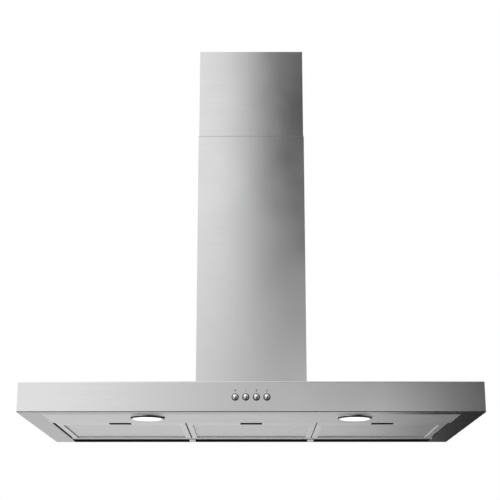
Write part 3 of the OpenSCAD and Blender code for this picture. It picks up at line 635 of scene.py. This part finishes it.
sign_ink, tree, shader = new_finish("sign_ink")
ink_grain = noise(tree, own_place(tree), INK_GRAIN)
ink_tone = mixed(tree, "RGBA", ink_grain, INK_DARK, INK_LIGHT)
tree.links.new(ink_tone, shader.inputs["Base Color"])
shader.inputs["Roughness"].default_value = INK_ROUGHNESS

front_face_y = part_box("canopy_shell")[0].y
for name, sign in zip(BUTTON_NAMES, ("0", "1", "2", "3")):
    low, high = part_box(name)
    print_curve = bpy.data.curves.new("sign_" + sign, "FONT")
    print_curve.body = sign
    print_curve.size = SIGN_SIZE
    print_curve.align_x = "CENTER"
    print_curve.extrude = SIGN_PROUD / 2
    print_curve.offset = SIGN_WEIGHT
    print_curve.materials.append(sign_ink)
    printed = bpy.data.objects.new("sign_" + sign, print_curve)
    printed.location = (
        (low.x + high.x) / 2,
        front_face_y - SIGN_PROUD / 2,
        (low.z + high.z) / 2 + SIGN_RISE,
    )
    printed.rotation_euler = (math.pi / 2, 0, 0)
    bpy.context.scene.collection.objects.link(printed)
    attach(printed, "hood")


# Chimney. Two folded covers of brushed sheet with the grain across them; the
# upper one slides inside the lower one. A thin dark grey strip on the lower
# one's rim is painted shade, the shadow line at the seam.
SEAM_SHADE_W = 0.0009
SEAM_SHADE_H = 0.0007

cover_steel = brushed_steel("cover_steel", tone=0.86, spread=0.165, stretch=0.93)
dress(cover_steel, "lower_cover", "upper_cover")

# Dark grey strip on the seam: painted shade.
seam_shade_plastic = moulded(
    "seam_shade_plastic", tone=(0.20, 0.20, 0.205), rough=0.5, grain=900.0, depth=0.00003
)
low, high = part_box("lower_cover")
seam_shade_plan = [
    (low.x, high.y),
    (low.x, low.y),
    (high.x, low.y),
    (high.x, high.y),
    (high.x - SEAM_SHADE_W, high.y),
    (high.x - SEAM_SHADE_W, low.y + SEAM_SHADE_W),
    (low.x + SEAM_SHADE_W, low.y + SEAM_SHADE_W),
    (low.x + SEAM_SHADE_W, high.y),
]
bm = bmesh.new()
seam_shade_face = bm.faces.new([bm.verts.new((x, y, high.z)) for x, y in seam_shade_plan])
raised = bmesh.ops.extrude_face_region(bm, geom=[seam_shade_face])
lifted = [v for v in raised["geom"] if isinstance(v, bmesh.types.BMVert)]
bmesh.ops.translate(bm, vec=(0, 0, SEAM_SHADE_H), verts=lifted)
bmesh.ops.recalc_face_normals(bm, faces=bm.faces)
seam_shade_strip = mesh_piece("cover_seam_shade", bm, seam_shade_plastic)
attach(seam_shade_strip, "hood")


# Screws, damper pin and motor shaft. Zinc-plated pan heads hold the box, collar
# and bracket; the pin and the shaft are ground steel, because something turns
# on them.
zinc_plate = plated("zinc_plate", tone=(0.62, 0.62, 0.64), rough=0.25)
dress(zinc_plate, "bracket_screws", "box_screws", "collar_screws")
ground_steel = plated("ground_steel", tone=(0.72, 0.72, 0.73), rough=0.14)
dress(ground_steel, "motor_shaft", "damper_pin")


# Blower. A pale moulded volute in three pieces round a black squirrel-cage
# impeller; the motor and its capacitor have painted cans.
volute_plastic = moulded(
    "volute_plastic", tone=(0.62, 0.62, 0.60), rough=0.5, grain=900.0, depth=0.00006
)
dress(volute_plastic, "scroll_wall", "scroll_front", "scroll_rear")
wheel_plastic = moulded(
    "wheel_plastic", tone=(0.035, 0.035, 0.038), rough=0.42, grain=1200.0, depth=0.00005
)
dress(wheel_plastic, "impeller")
motor_paint = moulded(
    "motor_paint", tone=(0.46, 0.47, 0.48), rough=0.38, grain=1600.0, depth=0.00003
)
dress(motor_paint, "motor", "capacitor")


# Duct collar, damper flaps, wiring box and switch housing. Black moulded
# plastic with a fine grain; the collar is screwed to the top of the blower box.
duct_plastic = moulded(
    "duct_plastic", tone=(0.028, 0.028, 0.03), rough=0.48, grain=1500.0, depth=0.00006
)
dress(duct_plastic, "duct_collar", "damper_flap_front", "damper_flap_rear")
box_plastic = moulded(
    "box_plastic", tone=(0.04, 0.04, 0.042), rough=0.55, grain=1300.0, depth=0.00006
)
dress(box_plastic, "wiring_box", "wiring_lid", "cable_gland", "switch_housing")


# Control board. Green lacquered laminate with its larger parts soldered on; it
# stands behind the switch housing.
board_lacquer = moulded(
    "board_lacquer", tone=(0.02, 0.14, 0.06), rough=0.3, grain=600.0, depth=0.00004
)
dress(board_lacquer, "control_board")
